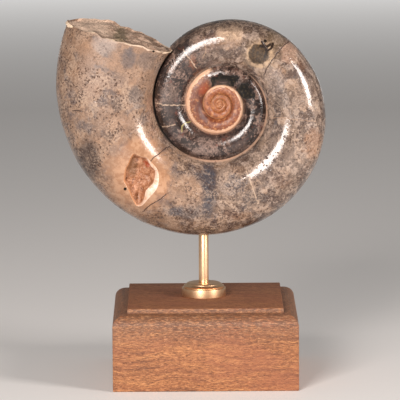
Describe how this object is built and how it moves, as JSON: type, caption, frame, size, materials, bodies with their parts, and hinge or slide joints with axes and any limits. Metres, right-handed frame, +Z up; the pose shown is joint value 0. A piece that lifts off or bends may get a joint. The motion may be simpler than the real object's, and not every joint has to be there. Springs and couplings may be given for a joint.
{
  "type": "ammonite fossil on a stand",
  "caption": "Polished spiral ammonite fossil with a broken mouth and a crystal-lined hollow, held upright for display on a brass rod and collar over a square wooden base.",
  "frame": {"origin": "centre of the flat underside of the wooden base", "axes": "+Z up, the flank with the hollow faces -Y, +X is to the right of someone who looks at that flank"},
  "size_m": [0.1174, 0.08, 0.1566],
  "materials": {
    "polished_fossil": "polished calcite, beige to grey-brown, orange-brown at the centre",
    "calcite": "cream rim and orange-brown crystals",
    "satin_brass": "satin, turned",
    "oiled_wood": "oiled, reddish brown, fine grain"
  },
  "bodies": {
    "root": {"ammonite": "polished_fossil", "calcite_crust": "calcite", "brass_rod": "satin_brass", "brass_collar": "satin_brass", "wooden_base": "oiled_wood"}
  },
  "joints": []
}
